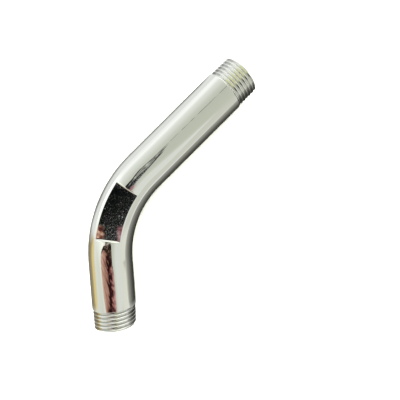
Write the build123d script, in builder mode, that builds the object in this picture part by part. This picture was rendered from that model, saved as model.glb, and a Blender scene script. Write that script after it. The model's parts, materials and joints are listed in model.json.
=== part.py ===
"""Bent shower arm, moulded in one piece, with a threaded spigot on each end and spanner flats in its bend.

The arm lies on its side, as it comes to rest. The origin is the centre of the inlet's end face, +Y runs out
of the inlet along its thread, the bend lies in the XY plane, and +Z is up. Millimetres and degrees.
"""
from build123d import *

import os
from math import degrees

# Centreline, from the inlet's end face to the outlet's
inlet_leg_length = 68.0
bend_radius = 58.0
bend_angle = 48.5
outlet_leg_length = 33.0

# Half-inch parallel pipe thread: the spigots have its outside diameter, and its turns are left smooth
thread_diameter = 20.8
thread_depth = 1.162

# Spigots, each measured from its end face to the tube's shoulder
inlet_thread_length = 12.0
outlet_thread_length = 10.0
end_chamfer = 0.8

# Tube: how far it stands out past the thread, and the wall that is left under the thread
shoulder_height = 0.3
shoulder_chamfer = 0.2
wall_under_thread = 2.2
mouth_chamfer = 0.6

# Spanner flats, one on each side of the bend
flat_depth = 1.7
flat_length = 26.4
flat_rounding = 0.3

# Radii that follow from the sizes above
thread_radius = thread_diameter / 2
root_radius = thread_radius - thread_depth
tube_radius = thread_radius + shoulder_height
bore_radius = root_radius - wall_under_thread
mouth_radius = bore_radius + mouth_chamfer


def spigot(length):
    """A spigot along Z, from its chamfered end face at the origin down to the shoulder."""
    with BuildPart() as made:
        with BuildSketch(Plane.XZ):
            with BuildLine():
                Polyline(
                    (0, -mouth_radius),
                    (mouth_radius, 0),
                    (thread_radius - end_chamfer, 0),
                    (thread_radius, -end_chamfer),
                    (thread_radius, -length),
                    (0, -length),
                    close=True,
                )
            make_face()
        revolve(axis=Axis.Z)
    return made.part


with BuildLine() as centreline:
    inlet_leg = Line((0, 0), (0, -inlet_leg_length))
    bend = JernArc(inlet_leg @ 1, inlet_leg % 1, bend_radius, bend_angle)
    outlet_leg = Line(bend @ 1, bend @ 1 + bend % 1 * outlet_leg_length)

# Each end's plane has its Z along the thread, out of the arm, and its X towards the outside of the bend
inlet_end = Plane(inlet_leg @ 0, x_dir=(inlet_leg % 0).rotate(Axis.Z, -90), z_dir=inlet_leg % 0 * -1)
outlet_end = Plane(outlet_leg @ 1, x_dir=(outlet_leg % 1).rotate(Axis.Z, -90), z_dir=outlet_leg % 1)
inlet_shoulder = inlet_end.offset(-inlet_thread_length)
outlet_shoulder = outlet_end.offset(-outlet_thread_length)

# The flats lie in the middle of the bend
flat_angle = degrees(flat_length / bend_radius)
flat_start = (bend_angle - flat_angle) / 2 / bend_angle
flat_section = Plane(bend @ flat_start, x_dir=(0, 0, 1), z_dir=bend % flat_start)

with BuildPart() as shower_arm:
    # Tube from shoulder to shoulder
    with BuildLine() as tube_path:
        add(centreline.line)
        split(bisect_by=inlet_shoulder, keep=Keep.BOTTOM)
        split(bisect_by=outlet_shoulder, keep=Keep.BOTTOM)
    with BuildSketch(inlet_shoulder):
        Circle(tube_radius)
    sweep(path=tube_path.line)
    chamfer(shower_arm.faces().filter_by(GeomType.PLANE).edges(), shoulder_chamfer)

    with Locations(inlet_end):
        add(spigot(inlet_thread_length))
    with Locations(outlet_end):
        add(spigot(outlet_thread_length))

    # Bore, round the bend from mouth to mouth
    with BuildSketch(inlet_end):
        Circle(bore_radius)
    sweep(path=centreline.line, mode=Mode.SUBTRACT)

    # Spanner flats, each cut by a bar that turns about the bend's axis, so that its steps are square to it
    with BuildSketch(flat_section):
        with Locations((tube_radius, 0), (-tube_radius, 0)):
            Rectangle(2 * flat_depth, 2 * tube_radius)
    revolve(axis=Axis(bend.center_point, (0, 0, 1)), revolution_arc=flat_angle, mode=Mode.SUBTRACT)
    fillet(shower_arm.edges(Select.LAST), flat_rounding)

shower_arm.part.label = "shower_arm"

os.makedirs("parts", exist_ok=True)
export_step(shower_arm.part, "parts/shower_arm.step")
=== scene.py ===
"""Bent shower arm of chrome-plated plastic, on a plain pale floor.

The CAD solid gives the arm its place and size. Here the arm gets the turns of its two pipe threads, the
rounded edges of its spanner flats and its plating. All lengths are in metres, in the frame of the CAD model.
"""

import json
import math

import bmesh
import bpy
from mathutils import Euler, Matrix, Vector


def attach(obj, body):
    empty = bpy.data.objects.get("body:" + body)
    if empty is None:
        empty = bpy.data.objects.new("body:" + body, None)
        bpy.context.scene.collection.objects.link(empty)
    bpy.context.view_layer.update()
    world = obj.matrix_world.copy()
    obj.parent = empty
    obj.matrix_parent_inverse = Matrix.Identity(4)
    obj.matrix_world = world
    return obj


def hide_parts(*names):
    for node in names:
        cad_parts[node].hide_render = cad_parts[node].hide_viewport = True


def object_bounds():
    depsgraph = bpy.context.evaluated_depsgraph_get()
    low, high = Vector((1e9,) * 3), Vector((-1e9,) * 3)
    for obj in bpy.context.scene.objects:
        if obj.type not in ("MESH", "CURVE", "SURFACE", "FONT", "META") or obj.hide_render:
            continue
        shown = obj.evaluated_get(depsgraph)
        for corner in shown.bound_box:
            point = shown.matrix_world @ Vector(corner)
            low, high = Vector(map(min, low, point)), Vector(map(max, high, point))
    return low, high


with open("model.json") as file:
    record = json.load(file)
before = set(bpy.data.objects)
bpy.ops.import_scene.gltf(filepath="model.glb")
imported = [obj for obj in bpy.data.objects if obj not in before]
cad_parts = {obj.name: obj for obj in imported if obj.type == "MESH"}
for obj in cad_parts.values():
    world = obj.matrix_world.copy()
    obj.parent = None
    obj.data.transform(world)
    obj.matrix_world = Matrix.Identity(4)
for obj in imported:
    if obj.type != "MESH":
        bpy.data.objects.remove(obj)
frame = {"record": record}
CAD_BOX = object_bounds()

bl_info = {
    "name": "Shower arm",
    "version": (1, 0, 0),
    "blender": (4, 5, 0),
    "location": "3D View > Sidebar > Shower arm",
    "description": "Models a bent shower arm of chrome-plated plastic and sets a stage for it",
    "category": "Add Mesh",
}

MM = 0.001
QUARTER_TURN = math.radians(90)
MOUNTS = {mount["name"]: mount for mount in frame["record"]["mounts"]}

# How finely the arm is divided
RING_POINTS = 192
BORE_POINTS = 96
BORE_STEPS = 40
THREAD_STEPS = 128
BEND_STEP = math.radians(0.75)
FLAT_CUTS = 47
ROUNDING_SEGMENTS = 3
CREST_SEGMENTS = 5

# Two points nearer than this are one point
TOUCH = 0.002 * MM

# A wall that is lower than this keeps its sharp edges, and so does an edge that folds by less than this
LOW_WALL = 0.12 * MM
LOW_FOLD = math.radians(15)

# A flat's edge has room for this many roundings: up its wall, and along it from the flat's end
ROUNDINGS_UP = 3
ROUNDINGS_ALONG = 4

# The arm is shaded smooth across edges that fold by less than this
SMOOTH_FOLD = math.radians(35)

# One pitch of a thread with sharp corners, as shares of its height and of the pitch: half a flank down to the
# root, a flank up to the crest, and half a flank down
THREAD_PROFILE = ((-0.5, 0.25), (1.0, 0.5), (-0.5, 0.25))

# Turns that are made beyond a spigot's length, and pitches from the last groove back to their start
SPARE_TURNS = 2
START_DEPTH = 2.25

# A round corner, and how far its middle moves along each of its sides, as a share of the rounding
ROUND_PROFILE = 0.5
ROUND_MIDDLE = 1 - math.sqrt(0.5)

# Layers of finer detail in the noise of the plating, of the cards' grain and of the strip's patches
PEEL_DETAIL = 2.0
GRAIN_DETAIL = 1.0
STRIP_DETAIL = 4.0

# Colour of the surroundings, by the X of the way that a ray goes
ROOM_STOPS = (
    (-1.0, "#ECEEEA"), (-0.93, "#FAFCF8"), (-0.8, "#DCE0D8"), (-0.4, "#C4C8BC"), (0.0, "#B8BCAE"),
    (0.7, "#BCC0B0"), (1.0, "#C8CABE"),
)
# Light that is added to it, by Y
ROOM_LIGHT = (
    (-0.75, "#5A5A56"), (-0.5, "#B0B0AC"), (-0.2, "#000000"), (0.28, "#000000"), (0.38, "#6A6A66"),
)
# More light beyond the inlet, by Y, and how it runs out, by X
INLET_LIGHT = ((0.4, "#000000"), (0.46, "#C4C4C4"), (0.7, "#C4C4C4"), (0.76, "#FFFFFF"))
INLET_LIGHT_SIDE = ((0.7, "#FFFFFF"), (0.95, "#000000"))
# A tinted band beyond the inlet: how much of the tint shows, by Y, and the tint, by X
TINT_BAND = ((0.38, "#000000"), (0.46, "#FFFFFF"), (0.7, "#FFFFFF"), (0.76, "#000000"))
TINT_SIDE = (
    (-0.62, "#FFFFFF"), (-0.48, "#F6F6C6"), (0.2, "#F6F6C6"), (0.5, "#545448"), (0.7, "#181816"),
)
# How far Y falls for the inlet's light and band, for each X towards the inside of the bend
INLET_LIGHT_LEAN = -0.2

# The floor that the plating mirrors, a glowing sheet: dark close to the arm, most of all inside the bend, as
# painted shade of the arm on the floor, and yellowish beside the outlet leg as a painted reflection. Its
# shades by the distance in millimetres from the arm's centreline towards the inside of the bend: beside the
# inlet leg, and beside the outlet leg
FLOOR_SHADE_INSIDE = ((0, "#3A3A38"), (18, "#363632"), (50, "#82827A"), (180, "#B4B5A8"))
INLET_FLOOR = ((-180, "#DEE0DC"), (-40, "#DCDEDA"), (-21, "#868784")) + FLOOR_SHADE_INSIDE
OUTLET_FLOOR = ((-180, "#C7B276"), (-60, "#9E906C"), (-29, "#7E786A")) + FLOOR_SHADE_INSIDE
# Where the second takes over, by the distance past the outlet's end, and where the floor beyond the ends,
# without painted shade, does, by the distance past either end, with how its border leans outwards at each
OUTLET_BLEND = (-54, -40)
END_BLEND = (-14, -4)
INLET_LEAN = -1.0
OUTLET_LEAN = -0.35

# Glowing cards level with the camera, which the top of the arm mirrors as painted reflections: the dark,
# speckled face of the upper flat and the warm strip down the outlet leg. From back to front: name, grain,
# millimetres to the right and down from the lens in the picture, width, height, tilt in degrees, how far from
# its edges a card fades, and the share of its width and height that its rounded corners take
CAMERA_CARDS = (
    ("strip_top_card", "cap", -61, 102, 205, 80, -4.5, 0.5, 0.4),
    ("warm_card", "strip", -60.5, 110, 216, 84, -4.5, 4, 0.4),
    ("dark_card", "specks", -39, 24, 90, 76, 0, 3, 0),
    ("upper_dark_card", "specks", -31, -11, 56, 42, 0, 5, 0),
    ("streak_card", "grey", -29, -10, 42, 36, 0, 6, 0),
    ("left_warm_card", "tan", -79, 51, 28, 20, 0, 5, 0),
    ("right_warm_card", "pink", -42, 52, 28, 20, 0, 4, 0),
    ("small_warm_card", "pink", 4, 41.5, 46, 6, -37, 2, 0),
    ("thin_dark_card", "line", 9, -56, 102, 8, 35, 3, 0),
)
# Millimetres from card to card
CARD_GAP = 1.0
CARD_ROUNDING_SEGMENTS = 8
# The middle of a card's chart, which runs from 0 to 1
CHART_MIDDLE = 0.5

# Grain of the cards' painted reflections: spacing in millimetres across and down, how much paler it gets
# towards the lower right, and its shades
GRAINS = {
    "specks": (0.9, 0.9, 0.24, (
        (0.4, "#050706"), (0.52, "#111312"), (0.6, "#323432"), (0.68, "#7C7E7A"), (0.82, "#F0F2EE"),
    )),
    "cap": (30, 2.5, 0, ((0.35, "#0C0806"), (0.5, "#2A1C16"), (0.62, "#6A5A4C"))),
    "grey": (6, 6, 0, ((0.35, "#383A35"), (0.5, "#86887E"), (0.62, "#C8CAC0"))),
    "tan": (6, 6, 0, ((0.38, "#4A2420"), (0.5, "#9E6C5A"), (0.62, "#DCBEA4"))),
    "pink": (8, 8, 0, ((0.38, "#6A3A40"), (0.5, "#A07476"), (0.62, "#CBB0AC"))),
    "line": (7, 7, 0, ((0.42, "#3A3C38"), (0.52, "#8A8C84"), (0.6, "#BCC0B0"))),
}

# The strip that the outlet leg mirrors, a painted reflection of warm browns with a dark core, from its left
# side to its right, and the width and height of its patches in millimetres, with how far they shift its
# shades
STRIP_STOPS = (
    (0.0, "#CDBAA6"), (0.2, "#B08A78"), (0.4, "#986C5E"), (0.54, "#1C0C09"), (0.7, "#30161A"),
    (0.82, "#98645E"), (1.0, "#B88C84"),
)
PATCH_WIDTH = 60
PATCH_HEIGHT = 6
PATCH_SHIFT = 0.5

# Glowing cards beside the outlet leg, which paint a yellow reflection on its outer edge and a pale painted
# reflection that lightens its inner side: millimetres from the leg's middle outwards from the bend, along and
# up, how far a card's face is turned up from level, its width and height, and the shares of these over which
# it fades
YELLOW_CARD = ((75, 2, 6), 0, (68, 44), (0.2, 0.45))
PALE_CARD = ((-85, 8, 70), -90, (110, 140), (0.25, 0.25))

# Inputs and output of a node that mixes two colours
MIX_SHARE, MIX_FIRST, MIX_SECOND, MIX_RESULT = 0, 6, 7, 2

WHITE = (1, 1, 1, 1)

# Floor, backdrop and soft light
FLOOR_ROUGHNESS = 0.9
BACKDROP_POINTS = 192
BACKDROP_GLOW = 1
LIGHT_PLACE = Vector((-0.3, 0.2, 1.2))

# The camera's sensor, in millimetres, and the nearest that it sees
SENSOR_WIDTH = 36
CLIP_START = 1 * MM


def linear(code):
    """The linear colour of an sRGB hex code."""
    channels = [int(code[i:i + 2], 16) / 255 for i in (1, 3, 5)]
    return [c / 12.92 if c <= 0.04045 else ((c + 0.055) / 1.055) ** 2.4 for c in channels]


def length(name, description, millimetres):
    """A length property, with its default in millimetres."""
    return bpy.props.FloatProperty(
        name=name, description=description, default=millimetres * MM, min=0, precision=5, unit="LENGTH"
    )


def colour(name, description, code):
    """A colour property, with its default as an sRGB hex code."""
    return bpy.props.FloatVectorProperty(
        name=name, description=description, default=linear(code), size=3, min=0, max=1, subtype="COLOR"
    )


class ArmSizes(bpy.types.PropertyGroup):
    """Sizes of the arm: the CAD model's, and those of its turns of thread and rounded edges."""

    inlet_leg: length("Inlet leg", "Centreline from the inlet's end face to the bend", 68.0)
    bend_radius: length("Bend radius", "Radius of the bend's centreline", 58.0)
    bend_angle: bpy.props.FloatProperty(
        name="Bend angle", description="How far the bend turns", default=math.radians(48.5), subtype="ANGLE"
    )
    outlet_leg: length("Outlet leg", "Centreline from the bend to the outlet's end face", 33.0)
    tube_radius: length("Tube radius", "Outside of the plain tube", (CAD_BOX[1].z - CAD_BOX[0].z) / 2 / MM)
    bore_radius: length("Bore radius", "Inside of the tube", 7.038)
    mouth_chamfer: length("Mouth chamfer", "Chamfer where the bore meets an end face", 0.6)
    shoulder_rounding: length("Shoulder rounding", "Rounding of the tube's shoulders", 0.2)
    thread_radius: length("Thread radius", "Outside of the threads", MOUNTS["inlet_thread"]["dims"]["r_mm"])
    thread_depth: length("Thread depth", "From the crests to the roots", 1.162)
    pitch: length("Pitch", "From turn to turn: 14 turns to the inch", 1.814)
    flank_angle: bpy.props.FloatProperty(
        name="Flank angle", description="Angle between a groove's flanks", default=math.radians(55),
        subtype="ANGLE"
    )
    inlet_thread: length("Inlet thread", "From the inlet's end face to the tube's shoulder", 12.0)
    outlet_thread: length("Outlet thread", "From the outlet's end face to the tube's shoulder", 10.0)
    last_groove: length("Last groove", "From the shoulder to the last groove, where turns are counted", 0.85)
    tip_chamfer: length("Tip chamfer", "Chamfer where the turns meet an end face", 0.8)
    flat_height: length(
        "Flat height", "From the bend's plane to a spanner flat",
        MOUNTS["upper_spanner_flat"]["pos_m"][2] / MM
    )
    flat_length: length("Flat length", "Length of a flat, along the bend's centreline", 26.4)
    flat_rounding: length("Flat rounding", "Rounding of a flat's edges", 0.35)


class PlatingFinish(bpy.types.PropertyGroup):
    """Look of the chrome plating."""

    chrome: colour("Chrome", "What the plating mirrors back, head on", "#CBCBCA")
    roughness: bpy.props.FloatProperty(
        name="Roughness", description="Blur of the plating's reflections", default=0.03, subtype="FACTOR"
    )
    peel_width: length("Orange peel", "Width of the plating's shallow waves", 2.2)
    peel_height: length("Orange peel height", "Height of those waves", 0.004)


class StageLook(bpy.types.PropertyGroup):
    """Camera, floor, lights and cards."""

    eye: bpy.props.FloatVectorProperty(
        name="Eye", description="Place of the camera", default=(13.903 * MM, -59.665 * MM, 165.333 * MM),
        size=3, subtype="TRANSLATION", unit="LENGTH"
    )
    turn: bpy.props.FloatVectorProperty(
        name="Turn", description="How the camera is turned",
        default=[math.radians(a) for a in (-3.681, -4.148, 45.187)], size=3, subtype="EULER"
    )
    lens: bpy.props.FloatProperty(
        name="Lens", description="Focal length on a 36 mm sensor, in millimetres", default=29.603
    )
    gain: bpy.props.FloatProperty(
        name="Gain", description="Makes up for the light that the plating takes from what it mirrors",
        default=1.667
    )
    light_width: length("Light width", "Width of the soft light", 1600.0)
    light_power: bpy.props.FloatProperty(
        name="Light power", description="Watts of the soft light", default=30
    )
    floor_width: length("Floor width", "Width of the floor", 4000.0)
    floor_gap: length("Floor gap", "From the floor to the floor that the plating mirrors", 0.05)
    backdrop_height: length("Backdrop height", "Height of the backdrop round the floor", 3000.0)
    floor: colour("Floor", "Pale floor", "#F7F7F5")
    far_floor: colour("Far floor", "Mirrored floor beyond the arm's ends", "#DEE0DC")
    yellow_card: colour("Yellow card", "Card that tints the edge of the outlet leg", "#D6C284")
    pale_card: colour("Pale card", "Card that lightens the inner side of the outlet leg", "#D5D8CF")


def outlet_direction(sizes):
    """The way out of the outlet, along its thread."""
    return Vector((math.sin(sizes.bend_angle), -math.cos(sizes.bend_angle), 0))


def bend_centre(sizes):
    """The point that the bend turns about."""
    return Vector((sizes.bend_radius, -sizes.inlet_leg, 0))


def outlet_end(sizes):
    """The centre of the outlet's end face."""
    start = Vector((-math.cos(sizes.bend_angle), -math.sin(sizes.bend_angle), 0)) * sizes.bend_radius
    return bend_centre(sizes) + start + outlet_direction(sizes) * sizes.outlet_leg


def bend_turn(sizes, point):
    """How far round the bend a point is."""
    arm = bend_centre(sizes) - point
    return math.atan2(arm.y, arm.x)


def flat_turns(sizes):
    """Where a flat starts and ends round the bend."""
    turn = sizes.flat_length / sizes.bend_radius
    return (sizes.bend_angle - turn) / 2, (sizes.bend_angle + turn) / 2


def select(piece, kind, test):
    """Selects only the verts, edges or faces of a piece in edit mode that pass the test."""
    bpy.ops.mesh.select_all(action="DESELECT")
    mesh = bmesh.from_edit_mesh(piece.data)
    for element in getattr(mesh, kind):
        if test(element):
            element.select_set(True)
    mesh.select_flush_mode()
    bmesh.update_edit_mesh(piece.data)


def start_ring(name, points, radius, offset):
    """A ring of edges across the inlet, this far in from its end face, left open in edit mode."""
    bpy.ops.object.select_all(action="DESELECT")
    bpy.ops.mesh.primitive_circle_add(
        vertices=points, radius=radius, location=(0, -offset, 0), rotation=(QUARTER_TURN, 0, 0)
    )
    ring = bpy.context.object
    ring.name = name
    bpy.ops.object.transform_apply()
    bpy.ops.object.mode_set(mode="EDIT")
    bpy.ops.mesh.select_mode(type="VERT")
    bpy.ops.mesh.select_all(action="SELECT")
    return ring


def extrude_ring(move, scale=1.0, centre=(0, 0, 0)):
    """Extrudes the selected ring by a move, and scales it about its new centre."""
    bpy.ops.mesh.extrude_region_move(TRANSFORM_OT_translate={"value": move})
    bpy.ops.transform.resize(value=(scale, scale, scale), center_override=centre)


def spin_ring(sizes, turn, steps):
    """Spins the selected ring round the bend."""
    bpy.ops.mesh.spin(steps=steps, angle=turn, center=bend_centre(sizes), axis=(0, 0, -1))


def shoulder_rings(sizes):
    """Radii of the rings over a rounded shoulder, from its wall to the tube, and the depths between them."""
    turns = [step * QUARTER_TURN / ROUNDING_SEGMENTS for step in range(ROUNDING_SEGMENTS + 1)]
    radii = [sizes.tube_radius - sizes.shoulder_rounding * (1 - math.sin(turn)) for turn in turns]
    heights = [sizes.shoulder_rounding * (1 - math.cos(turn)) for turn in turns]
    return radii, [after - before for before, after in zip(heights, heights[1:])]


def tube_skin(sizes):
    """The outside of the tube, from shoulder to shoulder."""
    way_in = Vector((0, -1, 0))
    way_out = outlet_direction(sizes)
    radii, depths = shoulder_rings(sizes)
    skin = start_ring("tube_skin", RING_POINTS, radii[0], sizes.inlet_thread)

    # Rounded shoulder of the inlet, and its leg
    at = way_in * sizes.inlet_thread
    for before, radius, depth in zip(radii, radii[1:], depths):
        at += way_in * depth
        extrude_ring(way_in * depth, radius / before, at)
    extrude_ring(way_in * (sizes.inlet_leg - sizes.inlet_thread - sizes.shoulder_rounding))

    # Bend, with a ring at each end of the flats
    flat_start, flat_end = flat_turns(sizes)
    for turn in (flat_start, flat_end - flat_start, sizes.bend_angle - flat_end):
        spin_ring(sizes, turn, round(turn / BEND_STEP))

    # Outlet leg and its rounded shoulder
    at = outlet_end(sizes) - way_out * (sizes.outlet_thread + sizes.shoulder_rounding)
    extrude_ring(way_out * (sizes.outlet_leg - sizes.outlet_thread - sizes.shoulder_rounding))
    for before, radius, depth in zip(radii[::-1], radii[-2::-1], depths[::-1]):
        at += way_out * depth
        extrude_ring(way_out * depth, radius / before, at)

    for side in (1, -1):
        cut_flat(sizes, skin, side * sizes.flat_height)
    bpy.ops.object.mode_set(mode="OBJECT")
    round_flats(sizes, skin)
    return skin


def cut_flat(sizes, skin, level):
    """A spanner flat at this height, with a wall at each of its ends."""
    flat_start, flat_end = flat_turns(sizes)
    middle = (flat_start + flat_end) / 2
    half = (flat_end - flat_start) / 2

    bpy.ops.mesh.select_all(action="SELECT")
    bpy.ops.mesh.bisect(plane_co=(0, 0, level), plane_no=(0, 0, 1), threshold=TOUCH)

    def cap(face):
        centre = face.calc_center_median()
        return abs(bend_turn(sizes, centre) - middle) < half and centre.z / level > 1

    bpy.ops.mesh.select_mode(type="FACE")
    select(skin, "faces", cap)
    bpy.ops.mesh.delete(type="FACE")

    bpy.ops.mesh.select_mode(type="EDGE")
    select(skin, "edges", lambda e: e.is_boundary and all(abs(v.co.z - level) < TOUCH for v in e.verts))
    bpy.ops.mesh.bridge_edge_loops(number_cuts=FLAT_CUTS, interpolation="LINEAR")

    reach = TOUCH / sizes.bend_radius
    for turn in (flat_start, flat_end):
        def rim(edge):
            near = all(abs(bend_turn(sizes, v.co) - turn) < reach for v in edge.verts)
            return edge.is_boundary and near and all(v.co.z / level > 1 - TOUCH for v in edge.verts)

        select(skin, "edges", rim)
        bpy.ops.mesh.edge_face_add()


def round_flats(sizes, skin):
    """Rounds the edges of the flats, less and less where a wall runs out."""
    flat_start, flat_end = flat_turns(sizes)
    middle = (flat_start + flat_end) / 2
    half = (flat_end - flat_start) / 2
    reach = TOUCH / sizes.bend_radius
    mesh = bmesh.new()
    mesh.from_mesh(skin.data)
    weight = mesh.edges.layers.float.new("bevel_weight_edge")
    for edge in mesh.edges:
        if len(edge.link_faces) < 2 or edge.calc_face_angle() < LOW_FOLD:
            continue
        centre = (edge.verts[0].co + edge.verts[1].co) / 2
        past_end = abs(bend_turn(sizes, centre) - middle) - half
        if past_end > reach or abs(centre.z) < sizes.flat_height - TOUCH:
            continue
        if past_end > -reach:
            offset = sizes.bend_radius - (bend_centre(sizes) - centre).xy.length
            wall = math.sqrt(max(sizes.tube_radius ** 2 - offset ** 2, 0)) - sizes.flat_height
            room = (wall - LOW_WALL) / ROUNDINGS_UP
        else:
            room = -past_end * sizes.bend_radius / ROUNDINGS_ALONG
        taper = min(1, max(0, room / sizes.flat_rounding))
        edge[weight] = taper * math.tan(edge.calc_face_angle() / 2)
    mesh.to_mesh(skin.data)
    mesh.free()
    rounding = skin.modifiers.new("Rounding", "BEVEL")
    rounding.limit_method = "WEIGHT"
    rounding.width = sizes.flat_rounding
    rounding.segments = ROUNDING_SEGMENTS
    rounding.use_clamp_overlap = False
    bpy.ops.object.modifier_apply(modifier=rounding.name)


def bore(sizes):
    """The inside of the tube, from mouth to mouth."""
    way_in = Vector((0, -1, 0))
    way_out = outlet_direction(sizes)
    mouth_radius = sizes.bore_radius + sizes.mouth_chamfer
    inside = start_ring("bore", BORE_POINTS, mouth_radius, 0)
    depth = way_in * sizes.mouth_chamfer
    extrude_ring(depth, sizes.bore_radius / mouth_radius, depth)
    extrude_ring(way_in * (sizes.inlet_leg - sizes.mouth_chamfer))
    spin_ring(sizes, sizes.bend_angle, BORE_STEPS)
    extrude_ring(way_out * (sizes.outlet_leg - sizes.mouth_chamfer))
    extrude_ring(way_out * sizes.mouth_chamfer, mouth_radius / sizes.bore_radius, outlet_end(sizes))
    bpy.ops.object.mode_set(mode="OBJECT")
    return inside


def thread(sizes, name, spigot, place):
    """The turns of a right-hand pipe thread, from an end face to the tube's shoulder.

    They are made along Z, below the end face, with the last groove counted along X, and then put in place.
    """
    half_flank = sizes.flank_angle / 2
    sharp_height = sizes.pitch / 2 / math.tan(half_flank)
    middle_radius = sizes.thread_radius - sizes.thread_depth / 2
    turns = math.ceil(spigot / sizes.pitch) + SPARE_TURNS
    start = sizes.last_groove - spigot - sizes.pitch * START_DEPTH

    # One pitch of the thread, drawn with sharp corners from a single point
    bpy.ops.object.select_all(action="DESELECT")
    bpy.ops.mesh.primitive_plane_add(size=sizes.pitch, location=(middle_radius, 0, start))
    turn = bpy.context.object
    turn.name = name
    bpy.ops.object.transform_apply()
    bpy.ops.object.mode_set(mode="EDIT")
    bpy.ops.mesh.select_mode(type="VERT")
    bpy.ops.mesh.select_all(action="SELECT")
    bpy.ops.mesh.merge(type="CENTER")
    for rise, run in THREAD_PROFILE:
        move = (rise * sharp_height, 0, run * sizes.pitch)
        bpy.ops.mesh.extrude_region_move(TRANSFORM_OT_translate={"value": move})

    # Its crest and root are rounded down to the thread's depth
    cut_off = (sharp_height - sizes.thread_depth) / 2
    rounding = cut_off / (ROUND_MIDDLE * 2 * math.cos(half_flank))
    select(turn, "verts", lambda v: abs(v.co.x - middle_radius) > sizes.thread_depth / 2)
    bpy.ops.mesh.bevel(
        offset=rounding, segments=CREST_SEGMENTS, profile=ROUND_PROFILE, affect="VERTICES",
        clamp_overlap=False
    )
    bpy.ops.object.mode_set(mode="OBJECT")

    helix = turn.modifiers.new("Helix", "SCREW")
    helix.axis = "Z"
    helix.angle = math.tau
    helix.screw_offset = sizes.pitch
    helix.iterations = turns
    helix.steps = THREAD_STEPS
    helix.render_steps = THREAD_STEPS
    bpy.ops.object.modifier_apply(modifier=helix.name)

    bpy.ops.object.mode_set(mode="EDIT")
    bpy.ops.mesh.select_all(action="SELECT")
    bpy.ops.mesh.remove_doubles(threshold=TOUCH)
    bpy.ops.mesh.bisect(plane_co=(0, 0, 0), plane_no=(0, 0, 1), threshold=TOUCH, clear_outer=True)
    bpy.ops.mesh.select_all(action="SELECT")
    bpy.ops.mesh.bisect(plane_co=(0, 0, -spigot), plane_no=(0, 0, 1), threshold=TOUCH, clear_inner=True)
    bpy.ops.object.mode_set(mode="OBJECT")

    # The cut ends are level, and the tip's chamfer takes the crests down near the end face
    for vertex in turn.data.vertices:
        for level in (0, -spigot):
            if abs(vertex.co.z - level) < TOUCH:
                vertex.co.z = level
        limit = sizes.thread_radius - sizes.tip_chamfer - vertex.co.z
        radius = vertex.co.xy.length
        if radius > limit:
            vertex.co.xy *= limit / radius
    turn.matrix_world = place
    bpy.ops.object.transform_apply()
    return turn


def frame_of(across, along, place):
    """The matrix that puts X across and Z along, at a place."""
    return Matrix.LocRotScale(place, Matrix((across, along.cross(across), along)).transposed(), None)


def close_ring(piece, point, normal):
    """Fills the gap between the open edges that lie in a plane."""
    def in_plane(edge):
        return edge.is_boundary and all(abs((v.co - point).dot(normal)) < TOUCH for v in edge.verts)

    select(piece, "edges", in_plane)
    bpy.ops.mesh.fill(use_beauty=True)


def open_edges(piece):
    """How many edges of a piece don't lie between two faces."""
    mesh = bmesh.new()
    mesh.from_mesh(piece.data)
    count = sum(not edge.is_manifold for edge in mesh.edges)
    mesh.free()
    return count


def shower_arm(sizes):
    """The whole arm, closed, with its turns of thread."""
    inlet_way, outlet_way = Vector((0, 1, 0)), outlet_direction(sizes)
    inlet_face, outlet_face = Vector((0, 0, 0)), outlet_end(sizes)
    ends = ((inlet_face, inlet_way, sizes.inlet_thread), (outlet_face, outlet_way, sizes.outlet_thread))
    across = (Vector((-1, 0, 0)), Vector((0, 0, 1)))
    parts = [tube_skin(sizes), bore(sizes)]
    for name, (face, way, spigot), side in zip(("inlet_thread", "outlet_thread"), ends, across):
        parts.append(thread(sizes, name, spigot, frame_of(side, way, face)))

    bpy.ops.object.select_all(action="DESELECT")
    for part in parts:
        part.select_set(True)
    arm = parts[0]
    bpy.context.view_layer.objects.active = arm
    bpy.ops.object.join()
    arm.name = "plated_shower_arm"
    arm.data.name = arm.name

    bpy.ops.object.mode_set(mode="EDIT")
    bpy.ops.mesh.select_mode(type="EDGE")
    for face, way, spigot in ends:
        close_ring(arm, face, way)
        close_ring(arm, face - way * spigot, way)
    bpy.ops.mesh.select_all(action="SELECT")
    bpy.ops.mesh.remove_doubles(threshold=TOUCH)
    bpy.ops.mesh.normals_make_consistent(inside=False)
    bpy.ops.object.mode_set(mode="OBJECT")
    bpy.ops.object.shade_smooth_by_angle(angle=SMOOTH_FOLD)
    shading = arm.modifiers.new("Even shading", "WEIGHTED_NORMAL")
    shading.keep_sharp = True
    bpy.ops.object.modifier_apply(modifier=shading.name)
    return arm


def add_node(tree, kind, inputs, **settings):
    """Adds a node with its settings. Each input takes a value, or a link from another node's output."""
    node = tree.nodes.new(kind)
    for name, value in settings.items():
        setattr(node, name, value)
    for name, value in inputs.items():
        if isinstance(value, bpy.types.NodeSocket):
            tree.links.new(value, node.inputs[name])
        else:
            node.inputs[name].default_value = value
    return node


def chrome_plated_abs(finish):
    """Bright chrome on moulded ABS: a mirror, slightly wavy from the moulding."""
    material = bpy.data.materials.new("chrome_plated_abs")
    material.use_nodes = True
    tree = material.node_tree
    shader = tree.nodes["Principled BSDF"]
    shader.inputs["Base Color"].default_value = (*finish.chrome, 1)
    shader.inputs["Metallic"].default_value = 1
    shader.inputs["Roughness"].default_value = finish.roughness

    place = add_node(tree, "ShaderNodeTexCoord", {}).outputs["Object"]
    peel = add_node(
        tree, "ShaderNodeTexNoise",
        {"Vector": place, "Scale": 1 / finish.peel_width, "Detail": PEEL_DETAIL},
    )
    waves = add_node(
        tree, "ShaderNodeBump",
        {"Height": peel.outputs["Fac"], "Strength": 1.0, "Distance": finish.peel_height},
    )
    tree.links.new(waves.outputs["Normal"], shader.inputs["Normal"])
    return material


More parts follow.
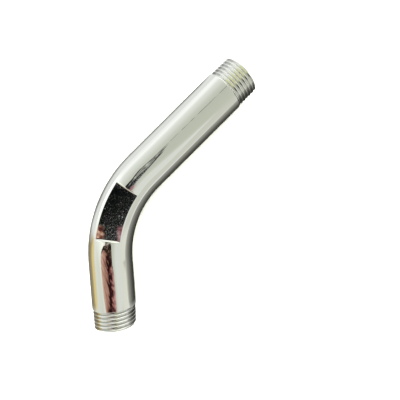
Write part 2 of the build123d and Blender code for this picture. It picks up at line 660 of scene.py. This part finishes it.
def shade_by(tree, value, stops):
    """The colour of a value by stops, from low to high, each a value and an sRGB hex code."""
    low, high = stops[0][0], stops[-1][0]
    share = add_node(tree, "ShaderNodeMapRange", {"Value": value, "From Min": low, "From Max": high})
    ramp = add_node(tree, "ShaderNodeValToRGB", {"Fac": share.outputs["Result"]})
    elements = ramp.color_ramp.elements
    elements[0].position = 0
    elements[1].position = 1
    for at, _ in stops[1:-1]:
        elements.new((at - low) / (high - low))
    for element, (_, code) in zip(elements, stops):
        element.color = (*linear(code), 1)
    return ramp.outputs["Color"]


def glow(name, gain):
    """A material that only glows, with its emission node, for the cards and what is round the floor."""
    material = bpy.data.materials.new(name)
    material.use_nodes = True
    tree = material.node_tree
    tree.nodes.remove(tree.nodes["Principled BSDF"])
    light = add_node(tree, "ShaderNodeEmission", {"Strength": gain})
    tree.links.new(light.outputs["Emission"], tree.nodes["Material Output"].inputs["Surface"])
    return material, light


def fade_edges(material, light, across, along):
    """Lets a card fade out towards its edges, over these shares of its width and height."""
    tree = material.node_tree
    chart = add_node(tree, "ShaderNodeUVMap", {}).outputs["UV"]
    sides = add_node(tree, "ShaderNodeSeparateXYZ", {"Vector": chart})
    shares = []
    for axis, reach in (("X", across), ("Y", along)):
        edge = add_node(
            tree, "ShaderNodeMath", {0: sides.outputs[axis], 1: CHART_MIDDLE}, operation="PINGPONG"
        )
        share = add_node(
            tree, "ShaderNodeMapRange", {"Value": edge.outputs["Value"], "From Max": reach},
            interpolation_type="SMOOTHSTEP"
        )
        shares.append(share.outputs["Result"])
    both = add_node(tree, "ShaderNodeMath", {0: shares[0], 1: shares[1]}, operation="MULTIPLY")
    clear = add_node(tree, "ShaderNodeBsdfTransparent", {})
    blend = add_node(
        tree, "ShaderNodeMixShader",
        {0: both.outputs["Value"], 1: clear.outputs["BSDF"], 2: light.outputs["Emission"]},
    )
    tree.links.new(blend.outputs["Shader"], tree.nodes["Material Output"].inputs["Surface"])


def card(name, material, place, turn, width, height, rounding=0):
    """A glowing card that is seen in reflections only, where it paints a reflection."""
    bpy.ops.object.select_all(action="DESELECT")
    bpy.ops.mesh.primitive_plane_add(size=1, location=place, rotation=turn)
    plane = bpy.context.object
    plane.name = name
    if rounding:
        bpy.ops.object.mode_set(mode="EDIT")
        bpy.ops.mesh.select_all(action="SELECT")
        bpy.ops.mesh.bevel(offset=rounding, segments=CARD_ROUNDING_SEGMENTS, affect="VERTICES")
        bpy.ops.object.mode_set(mode="OBJECT")
    plane.scale = (width, height, 1)
    bpy.ops.object.transform_apply()
    plane.data.materials.append(material)
    plane.visible_camera = False
    plane.visible_diffuse = False
    plane.visible_shadow = False


def pale_floor(look):
    """A wide pale floor under the arm."""
    bpy.ops.mesh.primitive_plane_add(size=look.floor_width, location=(0, 0, CAD_BOX[0].z))
    floor = bpy.context.object
    floor.name = "floor"

    # Matt paper: even and pale, with no gloss
    paper = bpy.data.materials.new("pale_paper")
    paper.use_nodes = True
    shader = paper.node_tree.nodes["Principled BSDF"]
    shader.inputs["Base Color"].default_value = (*look.floor, 1)
    shader.inputs["Roughness"].default_value = FLOOR_ROUGHNESS
    floor.data.materials.append(paper)


def backdrop(look):
    """A pale wall round the floor, which the plating doesn't mirror."""
    height = CAD_BOX[0].z + look.backdrop_height / 2
    bpy.ops.mesh.primitive_cylinder_add(
        vertices=BACKDROP_POINTS, radius=look.floor_width / 2, depth=look.backdrop_height,
        location=(0, 0, height), end_fill_type="NOTHING"
    )
    wall = bpy.context.object
    wall.name = "backdrop"
    material, light = glow("backdrop", BACKDROP_GLOW)
    light.inputs["Color"].default_value = (*look.floor, 1)
    wall.data.materials.append(material)
    wall.visible_diffuse = False
    wall.visible_glossy = False
    wall.visible_shadow = False


def soft_light(look):
    """A wide soft light overhead, which the plating doesn't mirror."""
    turn = (-LIGHT_PLACE).to_track_quat("-Z", "Y").to_euler()
    bpy.ops.object.light_add(type="AREA", location=LIGHT_PLACE, rotation=turn)
    light = bpy.context.object
    light.name = "soft_light"
    light.data.size = look.light_width
    light.data.energy = look.light_power
    light.visible_glossy = False


def room(look):
    """Soft grey-green surroundings, brighter outside the inlet leg and past the ends, tinted in a band."""
    world = bpy.data.worlds.new("room")
    bpy.context.scene.world = world
    world.use_nodes = True
    tree = world.node_tree
    way = add_node(tree, "ShaderNodeTexCoord", {}).outputs["Generated"]
    sides = add_node(tree, "ShaderNodeSeparateXYZ", {"Vector": way}).outputs
    inner = add_node(tree, "ShaderNodeMath", {0: sides["X"], 1: 0.0}, operation="MAXIMUM").outputs["Value"]
    leaning = add_node(
        tree, "ShaderNodeMath", {0: inner, 1: INLET_LIGHT_LEAN, 2: sides["Y"]}, operation="MULTIPLY_ADD"
    ).outputs["Value"]
    light = {
        0: shade_by(tree, leaning, INLET_LIGHT),
        1: shade_by(tree, sides["X"], INLET_LIGHT_SIDE),
        2: shade_by(tree, sides["Y"], ROOM_LIGHT),
    }
    added = add_node(tree, "ShaderNodeVectorMath", light, operation="MULTIPLY_ADD").outputs["Vector"]
    shades = {0: shade_by(tree, sides["X"], ROOM_STOPS), 1: added}
    total = add_node(tree, "ShaderNodeVectorMath", shades, operation="ADD").outputs["Vector"]
    tints = {
        MIX_SHARE: shade_by(tree, leaning, TINT_BAND),
        MIX_FIRST: WHITE,
        MIX_SECOND: shade_by(tree, sides["X"], TINT_SIDE),
    }
    tint = add_node(tree, "ShaderNodeMix", tints, data_type="RGBA").outputs[MIX_RESULT]
    tinted = add_node(tree, "ShaderNodeVectorMath", {0: total, 1: tint}, operation="MULTIPLY")
    tree.links.new(tinted.outputs["Vector"], tree.nodes["Background"].inputs["Color"])
    tree.nodes["Background"].inputs["Strength"].default_value = look.gain


def mirrored_floor(look, sizes):
    """A glowing sheet that paints the floor's reflection in the plating: dark inside the bend as painted
    shade of the arm on the floor, yellowish by the outlet as a painted reflection, and else pale.
    """
    material, light = glow("mirrored_floor", look.gain)
    tree = material.node_tree
    place = add_node(tree, "ShaderNodeTexCoord", {}).outputs["Object"]
    from_outlet = add_node(
        tree, "ShaderNodeVectorMath", {0: place, 1: outlet_end(sizes)}, operation="SUBTRACT"
    ).outputs["Vector"]
    way_out = outlet_direction(sizes)
    ways = []
    for start, way in (
        (place, Vector((1, 0, 0))),
        (from_outlet, way_out.cross(Vector((0, 0, -1)))),
        (place, Vector((0, 1, 0))),
        (from_outlet, way_out),
    ):
        along = add_node(tree, "ShaderNodeVectorMath", {0: start, 1: way}, operation="DOT_PRODUCT")
        ways.append(along.outputs["Value"])
    inlet_side, outlet_side, past_inlet, past_outlet = ways
    inside = add_node(
        tree, "ShaderNodeMath", {0: inlet_side, 1: outlet_side}, operation="MINIMUM"
    ).outputs["Value"]
    within = add_node(tree, "ShaderNodeMath", {0: inside, 1: 0.0}, operation="MAXIMUM").outputs["Value"]
    apart = add_node(tree, "ShaderNodeMath", {0: inside}, operation="ABSOLUTE").outputs["Value"]
    leaning = {}
    for order, terms in enumerate(((within, INLET_LEAN, past_inlet), (apart, OUTLET_LEAN, past_outlet))):
        leaning[order] = add_node(
            tree, "ShaderNodeMath", dict(enumerate(terms)), operation="MULTIPLY_ADD"
        ).outputs["Value"]
    past_end = add_node(tree, "ShaderNodeMath", leaning, operation="MAXIMUM").outputs["Value"]

    # Dark close to the arm, most of all inside the bend: painted shade of the arm on the floor
    floor = shade_by(tree, inside, [(at * MM, code) for at, code in INLET_FLOOR])
    outlet_floor = shade_by(tree, inside, [(at * MM, code) for at, code in OUTLET_FLOOR])
    for value, (low, high), shade in (
        (past_outlet, OUTLET_BLEND, outlet_floor),
        (past_end, END_BLEND, (*look.far_floor, 1)),
    ):
        share = add_node(
            tree, "ShaderNodeMapRange", {"Value": value, "From Min": low * MM, "From Max": high * MM}
        )
        shades = {MIX_SHARE: share.outputs["Result"], MIX_FIRST: floor, MIX_SECOND: shade}
        floor = add_node(tree, "ShaderNodeMix", shades, data_type="RGBA").outputs[MIX_RESULT]
    tree.links.new(floor, light.inputs["Color"])
    height = CAD_BOX[0].z + look.floor_gap
    card("mirrored_floor", material, (0, 0, height), (0, 0, 0), look.floor_width, look.floor_width)


def cards_beside_camera(look):
    """Dark, grey and warm glowing cards, level with the camera, that the top of the arm mirrors as painted
    reflections.
    """
    turn = Euler(look.turn).to_matrix()
    for order, (name, grain, right, down, width, height, tilt, fade, rounding) in enumerate(CAMERA_CARDS):
        material, light = glow(name, look.gain)
        if grain in GRAINS:
            grained(material.node_tree, light, width, height, *GRAINS[grain])
        else:
            strip(material.node_tree, light, width, height)
        fade_edges(material, light, fade / width, fade / height)
        place = Vector(look.eye) + turn @ Vector((right, -down, -order * CARD_GAP)) * MM
        tilted = turn @ Matrix.Rotation(math.radians(tilt), 3, "Z")
        card(name, material, place, tilted.to_euler(), width * MM, height * MM, rounding)


def noise(tree, chart, counts, detail):
    """Soft random patches, this many across and down a card."""
    spread = add_node(tree, "ShaderNodeVectorMath", {0: chart, 1: (*counts, 0)}, operation="MULTIPLY")
    inputs = {"Vector": spread.outputs["Vector"], "Scale": 1.0, "Detail": detail}
    return add_node(tree, "ShaderNodeTexNoise", inputs).outputs["Fac"]


def grained(tree, light, width, height, across, down, rise, stops):
    """Spots of several shades, which get paler towards the lower right, for a card's painted reflection."""
    chart = add_node(tree, "ShaderNodeUVMap", {}).outputs["UV"]
    sides = add_node(tree, "ShaderNodeSeparateXYZ", {"Vector": chart}).outputs
    spots = noise(tree, chart, (width / across, height / down), GRAIN_DETAIL)
    slope = add_node(tree, "ShaderNodeMath", {0: sides["X"], 1: sides["Y"]}, operation="SUBTRACT")
    mixed = add_node(
        tree, "ShaderNodeMath", {0: slope.outputs["Value"], 1: rise, 2: spots}, operation="MULTIPLY_ADD"
    )
    tree.links.new(shade_by(tree, mixed.outputs["Value"], stops), light.inputs["Color"])


def strip(tree, light, width, height):
    """Warm browns from side to side, unevenly mixed, for the painted reflection of the strip."""
    chart = add_node(tree, "ShaderNodeUVMap", {}).outputs["UV"]
    across = add_node(tree, "ShaderNodeSeparateXYZ", {"Vector": chart}).outputs["X"]
    patches = noise(tree, chart, (width / PATCH_WIDTH, height / PATCH_HEIGHT), STRIP_DETAIL)
    shift = add_node(
        tree, "ShaderNodeMapRange", {"Value": patches, "To Min": -PATCH_SHIFT, "To Max": PATCH_SHIFT}
    )
    mixed = add_node(tree, "ShaderNodeMath", {0: across, 1: shift.outputs["Result"]}, operation="ADD")
    tree.links.new(shade_by(tree, mixed.outputs["Value"], STRIP_STOPS), light.inputs["Color"])


def card_beside_outlet(name, shade, look, sizes, place, tilt, size, fade):
    """A plain glowing card beside or over the outlet leg, which faces it and paints a reflection on it."""
    material, light = glow(name, look.gain)
    light.inputs["Color"].default_value = (*shade, 1)
    fade_edges(material, light, *fade)
    way_out = outlet_direction(sizes)
    outwards = way_out.cross(Vector((0, 0, 1)))
    leg = outlet_end(sizes) - way_out * sizes.outlet_leg / 2
    out, along, up = place
    spot = leg + (outwards * out + way_out * along + Vector((0, 0, up))) * MM
    facing = Matrix.Rotation(math.radians(tilt), 3, way_out) @ -outwards
    width, height = size
    card(name, material, spot, frame_of(way_out, facing, spot).to_euler(), width * MM, height * MM)


class SHOWERARM_OT_build(bpy.types.Operator):
    """Models the arm with its threads and flats, and plates it"""

    bl_idname = "shower_arm.build"
    bl_label = "Build shower arm"

    def execute(self, context):
        arm = shower_arm(context.scene.shower_arm_sizes)
        if open_edges(arm):
            raise RuntimeError("The arm isn't closed")
        arm.data.materials.clear()
        arm.data.materials.append(chrome_plated_abs(context.scene.shower_arm_finish))
        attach(arm, "root")
        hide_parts("shower_arm")
        return {"FINISHED"}


class SHOWERARM_OT_stage(bpy.types.Operator):
    """Sets the floor, the light, the cards and the camera"""

    bl_idname = "shower_arm.stage"
    bl_label = "Set stage"

    def execute(self, context):
        look = context.scene.shower_arm_stage
        sizes = context.scene.shower_arm_sizes

        bpy.ops.object.camera_add(location=look.eye, rotation=look.turn)
        camera = context.object
        camera.data.lens = look.lens
        camera.data.sensor_width = SENSOR_WIDTH
        camera.data.clip_start = CLIP_START
        context.scene.camera = camera
        context.scene.view_settings.view_transform = "Standard"

        pale_floor(look)
        backdrop(look)
        soft_light(look)
        room(look)
        mirrored_floor(look, sizes)
        cards_beside_camera(look)
        card_beside_outlet("yellow_card", look.yellow_card, look, sizes, *YELLOW_CARD)
        card_beside_outlet("pale_card", look.pale_card, look, sizes, *PALE_CARD)
        return {"FINISHED"}


class SHOWERARM_PT_sidebar(bpy.types.Panel):
    """Lists the arm's sizes, finish and stage, and the steps that build them"""

    bl_idname = "SHOWERARM_PT_sidebar"
    bl_label = "Shower arm"
    bl_space_type = "VIEW_3D"
    bl_region_type = "UI"
    bl_category = "Shower arm"

    def draw(self, context):
        for group, operator in (
            (context.scene.shower_arm_sizes, SHOWERARM_OT_build),
            (context.scene.shower_arm_finish, None),
            (context.scene.shower_arm_stage, SHOWERARM_OT_stage),
        ):
            box = self.layout.box()
            for name in group.__annotations__:
                box.prop(group, name)
            if operator:
                box.operator(operator.bl_idname)


CLASSES = (
    ArmSizes, PlatingFinish, StageLook, SHOWERARM_OT_build, SHOWERARM_OT_stage, SHOWERARM_PT_sidebar
)


def register():
    for cls in CLASSES:
        bpy.utils.register_class(cls)
    bpy.types.Scene.shower_arm_sizes = bpy.props.PointerProperty(type=ArmSizes)
    bpy.types.Scene.shower_arm_finish = bpy.props.PointerProperty(type=PlatingFinish)
    bpy.types.Scene.shower_arm_stage = bpy.props.PointerProperty(type=StageLook)


def unregister():
    del bpy.types.Scene.shower_arm_stage
    del bpy.types.Scene.shower_arm_finish
    del bpy.types.Scene.shower_arm_sizes
    for cls in reversed(CLASSES):
        bpy.utils.unregister_class(cls)


def main():
    register()
    bpy.ops.shower_arm.build()
    bpy.ops.shower_arm.stage()


if __name__ == "__main__":
    main()
